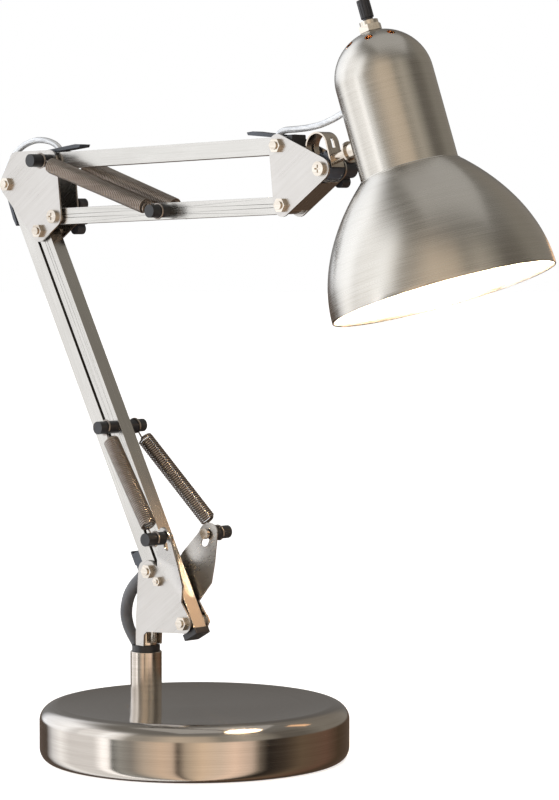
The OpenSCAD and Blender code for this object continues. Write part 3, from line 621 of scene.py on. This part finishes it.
ventStart = Matrix.Translation((0, 0, vent["rise"] * mm)) @ Matrix.Rotation(math.radians(vent["lean"]), 4, "Y")
ventOut = Matrix.Translation((0, 0, vent["depth"] * mm))
for k in range(vent["count"]):
    ventTurn = Matrix.Rotation(math.radians(vent["first"] + 360 / vent["count"] * k), 4, "Z")
    drill(shadeFrame @ ventTurn @ ventStart @ ventOut, vent["radius"], vent["depth"])
sideways = Matrix.Rotation(math.pi / 2, 4, "Y")
hole = {"flexUp": 24, "flexRadius": 2.4, "flexDepth": 20, "pinAt": 31.6, "pinRadius": 2.6, "pinDepth": 12}
flexHole = Matrix.Translation((-shade["neck"] * mm, 0, hole["flexUp"] * mm)) @ sideways
pinHole = Matrix.Translation((hole["pinAt"] * mm, 0, pose["rise"] * mm)) @ sideways
drill(shadeFrame @ flexHole, hole["flexRadius"], hole["flexDepth"])
drill(tiltFrame @ pinHole, hole["pinRadius"], hole["pinDepth"])

shadeShell.data.materials.clear()
for material in (spunShade, whiteEnamel, domeShadeMetal):
    shadeShell.data.materials.append(material)
# inside faces above the set height in the dome get the painted shade colour instead of white enamel; the lip band
# stays bare metal
toShade = shadeFrame.inverted()
domeCentre = shade["domeRise"] * mm
for face in shadeShell.data.polygons:
    c = toShade @ face.center
    n = toShade.to_3x3() @ face.normal
    inward = n.x * c.x + n.y * c.y + n.z * max(0, c.z - domeCentre) < 0
    onLip = c.z < (shade["lipBand"] - shade["mouthDrop"]) * mm
    face.material_index = 0 if onLip or not inward else 2 if c.z > shade["paintedShadeFrom"] * mm else 1
activate(shadeShell)
bpy.ops.object.shade_smooth_by_angle(angle=math.radians(28))
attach(shadeShell, "shade")
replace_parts(shadeShell, "shade_shell")

# the bulb: a ball, a tapering neck and a flat end inside the holder
bulb = {"radius": 28, "centre": -54, "neck": [(19.5, -33), (16.2, -26), (14.2, -19), (13.2, -12), (13, -11.5)],
        "end": -11.5, "steps": 64}
ballAngles = [math.radians(-90 + 120 * k / 20) for k in range(1, 21)]
ball = [(bulb["radius"] * math.cos(a), bulb["centre"] + bulb["radius"] * math.sin(a)) for a in ballAngles]
bulbOutline = [(0, bulb["centre"] - bulb["radius"])] + ball + bulb["neck"] + [(0, bulb["end"])]
bulbGlass = turned("bulbGlass", bulbOutline, bulb["steps"], shadeFrame, 40)
bulbGlass.data.materials.append(litGlass)
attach(bulbGlass, "shade")
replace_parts(bulbGlass, "bulb")
print("shade done")

# the pull springs: a close coil with an eye round the stud at each end
spring = {"radius": 5.2, "wire": 0.6, "pitch": 1.5, "hook": 10, "eye": 4.6, "eyeOpen": 30, "crank": 2.2,
          "lift": 1.5, "stiffEnd": 11, "perTurn": 18}


def springEye(centre, along, first, facing):
    across = Vector((0, 1, 0)).cross(along).normalized()
    points = []
    for k in range(22):
        t = math.radians(first + (360 - spring["eyeOpen"]) * k / 21)
        points.append(centre + (along * facing * math.cos(t) - across * math.sin(t)) * spring["eye"])
    return points


def pullSpring(name, a, b):
    along = (b - a).normalized()
    side = Vector((0, 1, 0))
    side = (side - along * side.dot(along)).normalized()
    up = along.cross(side)
    length = (b - a).length - 2 * spring["hook"]
    turns = round(length / spring["pitch"])
    crank = along * (spring["hook"] - spring["crank"])
    path = springEye(a, along, 200, 1) + [a + crank + up * spring["lift"]]
    for k in range(turns * spring["perTurn"] + 1):
        t = k / spring["perTurn"]
        grow = min(1.0, 0.35 + t, 0.35 + turns - t)
        spoke = (up * math.cos(2 * math.pi * t) + side * math.sin(2 * math.pi * t)) * grow
        spot = a + along * (spring["hook"] + length * t / turns)
        path.append(spot + spoke * (spring["radius"] - spring["wire"]))
    path += [b - crank + up * spring["lift"]] + springEye(b, along, 10, -1)
    ob = roundWire(name, [p * mm for p in path], spring["wire"] * mm, springMetal, 2)
    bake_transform(ob)
    return ob


# name, node, the stud at each end, the springs' distance from the middle there, and the two bodies
springPairs = [
    ("lowerSpring", "lower_springs", "ear_studs", 28, "lower_post", 13, ("bracket", "lower_inner")),
    ("upperSpring", "upper_springs", "elbow_post", 16, "upper_post", 12.5, ("elbow", "upper_bottom")),
]
for name, node, studA, outA, studB, outB, bodies in springPairs:
    for which, sign in (("Near", -1), ("Far", 1)):
        a = middle(studA) / mm + Vector((0, sign * outA, 0))
        b = middle(studB) / mm + Vector((0, sign * outB, 0))
        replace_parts(pullSpring(name + which, a, b), node)
print("springs done")

# the flex along the arms, each route cut where it crosses a joint; radius is the bare flex's
flex = {"radius": 2, "sleeve": 3.2, "swell": 0.25, "steps": 6,
        "cover": [(-52.4, 0, 66.3), (-54, 0, 69.2), (-57.2, 0, 73.4), (-60.4, 0, 78.5), (-62.2, 0, 84.5),
                  (-61.8, 0, 91), (-59.4, 0, 98), (-55, 0, 104), (-49.8, 0, 108.8), (-45.9, 0, 112.6),
                  (-44.5, 0, 116.2), (-44.9, 0, 119.8), (-47.2, 0, 124.2)],
        "elbow": [(-168.2, 0, 352.8), (-171.4, 0, 352.2), (-174.8, 0, 354.4), (-177.2, 0, 359.2),
                  (-177.4, 0, 365), (-174.5, 0, 372.5), (-168.5, 0, 380.2), (-159, 0, 386.4), (-148, 0, 389.6),
                  (-138.5, 0, 389.7), (-130.8, 0, 388.1), (-125.4, 0, 385.4), (-122.8, 0, 382.4)],
        "head": [(72.9, 0, 388.5), (73.8, 0, 390.3), (76.2, 0, 391.9), (80, 0, 392.8), (89, 0, 393.2),
                 (98, 0, 393.9), (107, 0, 395.3), (114, -0.2, 397.1), (121, -0.7, 399.4), (128, -1.3, 402.2),
                 (133.4, -1.7, 404.3)]}


def flexPiece(name, route, first, last, node, sleeved=False):
    steps = flex["steps"]
    dense = [p * mm for p in smoothRoute(flex[route], steps)]
    part = dense[first * steps:last * steps + 1]
    fat = flex["swell"] if sleeved else 0.0
    swell = [1 + fat * math.sin(math.pi * (first * steps + k) / (len(dense) - 1)) for k in range(len(part))]
    radius = flex["sleeve"] if sleeved else flex["radius"]
    ob = roundWire(name, part, radius * mm, sleeveRubber if sleeved else flexSheath, swell=swell)
    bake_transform(ob)
    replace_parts(ob, node)


flexPiece("cordCoverLow", "cover", 0, 5, "cord_cover_low", sleeved=True)
flexPiece("cordCoverUp", "cover", 5, 12, "cord_cover_up", sleeved=True)
flexPiece("flexElbowLow", "elbow", 0, 6, "cord_elbow_low")
flexPiece("flexElbowTop", "elbow", 6, 12, "cord_elbow_top")
flexPiece("flexHeadStart", "head", 0, 4, "cord_head_start")
flexPiece("flexHeadMid", "head", 4, 7, "cord_head_mid")
flexPiece("flexHeadEnd", "head", 7, 10, "cord_head_end")
print("flex done")

# the floor, and plain white all round, far off; the metal mirrors the world's cards instead
stage = {"floorSize": 24, "floorColour": (0.93, 0.93, 0.93), "floorRough": 0.7, "floorGlow": 0.70,
         "wallRadius": 11, "wallHeight": 16, "wallMiddle": 7, "wallGlow": 1.0}


def whiteGlow(bsdf, strength):
    bsdf.inputs["Emission Color"].default_value = (1, 1, 1, 1)
    bsdf.inputs["Emission Strength"].default_value = strength


bpy.ops.mesh.primitive_plane_add(size=stage["floorSize"], location=(0, 0, 0))
floor = bpy.context.active_object
floor.name = "floor"
floor.visible_glossy = False
floorPaint, _, floorBsdf = startMaterial("paleFloor")
floorBsdf.inputs["Base Color"].default_value = (*stage["floorColour"], 1)
floorBsdf.inputs["Roughness"].default_value = stage["floorRough"]
whiteGlow(floorBsdf, stage["floorGlow"])
floor.data.materials.append(floorPaint)

bpy.ops.mesh.primitive_cylinder_add(vertices=96, radius=stage["wallRadius"], depth=stage["wallHeight"],
                                    end_fill_type="TRIFAN", location=(0, 0, stage["wallMiddle"]))
backdrop = bpy.context.active_object
backdrop.name = "backdrop"
backdrop.visible_glossy = False
backdrop.visible_diffuse = False
backdrop.visible_shadow = False
wallPaint, _, wallBsdf = startMaterial("whiteBackdrop")
wallBsdf.inputs["Base Color"].default_value = (0, 0, 0, 1)
wallBsdf.inputs["Specular IOR Level"].default_value = 0
whiteGlow(wallBsdf, stage["wallGlow"])
backdrop.data.materials.append(wallPaint)

# what the metal mirrors: cards by their angle right of the camera, in degrees,
# one ring of them above the horizon, one below it, and a grey ceiling
studio = {"horizon": (-0.07, 0.02), "ceiling": (0.55, 0.85), "ceilingGrey": (0.32, 0.31, 0.29)}
highCards = [(-180, (0.20, 0.19, 0.18)), (-160, (0.30, 0.30, 0.30)), (-148, (1.6, 1.66, 1.76)),
             (-112, (2.1, 2.17, 2.28)), (-100, (1.45, 1.47, 1.50)), (-78, (1.45, 1.47, 1.50)),
             (-68, (2.0, 2.05, 2.12)), (-60, (1.7, 1.7, 1.7)), (-49, (0.62, 0.59, 0.54)),
             (-36, (0.62, 0.57, 0.50)), (-16, (1.02, 0.87, 0.70)), (10, (0.88, 0.75, 0.60)),
             (22, (0.50, 0.46, 0.39)), (40, (0.70, 0.64, 0.55)), (56, (0.46, 0.43, 0.37)),
             (70, (0.22, 0.20, 0.175)), (90, (0.24, 0.22, 0.19)), (112, (0.38, 0.355, 0.31)),
             (156, (0.34, 0.31, 0.27)), (168, (0.20, 0.19, 0.18)), (180, (0.20, 0.19, 0.18))]
lowCards = [(-180, (0.14, 0.10, 0.08)), (-140, (0.14, 0.11, 0.09)), (-128, (1.3, 1.32, 1.36)),
            (-116, (1.9, 1.92, 1.95)), (-104, (1.42, 1.42, 1.43)), (-78, (1.42, 1.42, 1.43)),
            (-70, (2.5, 2.5, 2.55)), (-65, (2.3, 2.3, 2.32)), (-62, (0.30, 0.31, 0.30)),
            (-56, (0.60, 0.60, 0.57)), (-46, (0.50, 0.47, 0.43)), (-36, (1.0, 0.85, 0.70)),
            (-23, (1.33, 1.03, 0.78)), (-15, (1.2, 0.95, 0.75)), (-11, (0.15, 0.12, 0.10)),
            (-5, (0.87, 0.72, 0.56)), (7, (1.39, 1.08, 0.79)), (20, (1.35, 1.10, 0.88)),
            (31, (1.67, 1.27, 1.0)), (44, (1.13, 0.90, 0.74)), (50, (0.30, 0.25, 0.20)),
            (57, (0.04, 0.032, 0.026)), (71, (0.10, 0.075, 0.055)), (87, (0.24, 0.17, 0.11)),
            (115, (0.25, 0.145, 0.10)), (135, (0.12, 0.08, 0.05)), (180, (0.14, 0.10, 0.08))]


def across(tree, direction, axis):
    dot = addNode(tree, "ShaderNodeVectorMath", operation="DOT_PRODUCT")
    dot.inputs[1].default_value = axis
    tree.links.new(direction, dot.inputs[0])
    return dot.outputs["Value"]


def softStep(tree, height, limits):
    node = addNode(tree, "ShaderNodeMapRange", interpolation_type="SMOOTHSTEP")
    node.inputs["From Min"].default_value, node.inputs["From Max"].default_value = limits
    tree.links.new(height, node.inputs["Value"])
    return node.outputs["Result"]


def cardRing(tree, turn, cards):
    return ramp(tree, turn, [((angle + 180) / 360, colour) for angle, colour in cards])


world = bpy.data.worlds.new("studio")
scene.world = world
world.use_nodes = True
sky = world.node_tree
direction = addNode(sky, "ShaderNodeTexCoord").outputs["Generated"]
bearing = maths(sky, "ARCTAN2", across(sky, direction, toRight), across(sky, direction, toCamera))
turn = maths(sky, "ADD", maths(sky, "MULTIPLY", bearing, 1 / (2 * math.pi)), 0.5)
height = across(sky, direction, upAxis)
walls = addNode(sky, "ShaderNodeMix", data_type="RGBA")
sky.links.new(softStep(sky, height, studio["horizon"]), walls.inputs["Factor"])
sky.links.new(cardRing(sky, turn, lowCards), walls.inputs["A"])
sky.links.new(cardRing(sky, turn, highCards), walls.inputs["B"])
room = addNode(sky, "ShaderNodeMix", data_type="RGBA")
sky.links.new(softStep(sky, height, studio["ceiling"]), room.inputs["Factor"])
sky.links.new(walls.outputs["Result"], room.inputs["A"])
room.inputs["B"].default_value = (*studio["ceilingGrey"], 1)
sky.links.new(room.outputs["Result"], sky.nodes["Background"].inputs["Color"])
sky.nodes["Background"].inputs["Strength"].default_value = 1.0


def softBox(name, place, target, size, power, colour):
    aim = (Vector(target) - Vector(place)).to_track_quat("-Z", "Y").to_euler()
    bpy.ops.object.light_add(type="AREA", location=place, rotation=aim)
    light = bpy.context.active_object
    light.name = name
    light.data.shape = "RECTANGLE"
    light.data.size, light.data.size_y = size
    light.data.energy = power
    light.data.color = colour


# a warm glow on the bracket, the light from the bulb, a weak overhead and a card on the left
leftPlace = toRight * -1.6 + toCamera * 0.3 + upAxis * 0.7
softBox("warmGlow", (0.174, 0.251, 0.30), (0, 0, 0.11), (0.06, 0.11), 0.034, (1, 0.56, 0.27))
softBox("overhead", (0.1, 0.2, 1.9), (0, 0, 0.1), (1.6, 1.6), 3, (1, 1, 1))
softBox("leftCard", leftPlace, (0, 0, 0.25), (0.8, 1.4), 0.8, (0.98, 0.99, 1))
beam = {"drop": 92, "power": 1.2, "colour": (1, 0.66, 0.36), "radius": 6}
bpy.ops.object.light_add(type="POINT", location=shadeFrame @ Vector((0, 0, -beam["drop"] * mm)))
bulbBeam = bpy.context.active_object
bulbBeam.name = "bulbBeam"
bulbBeam.data.energy = beam["power"]
bulbBeam.data.color = beam["colour"]
bulbBeam.data.shadow_soft_size = beam["radius"] * mm
scene.view_settings.view_transform = "Standard"
print("stage done")
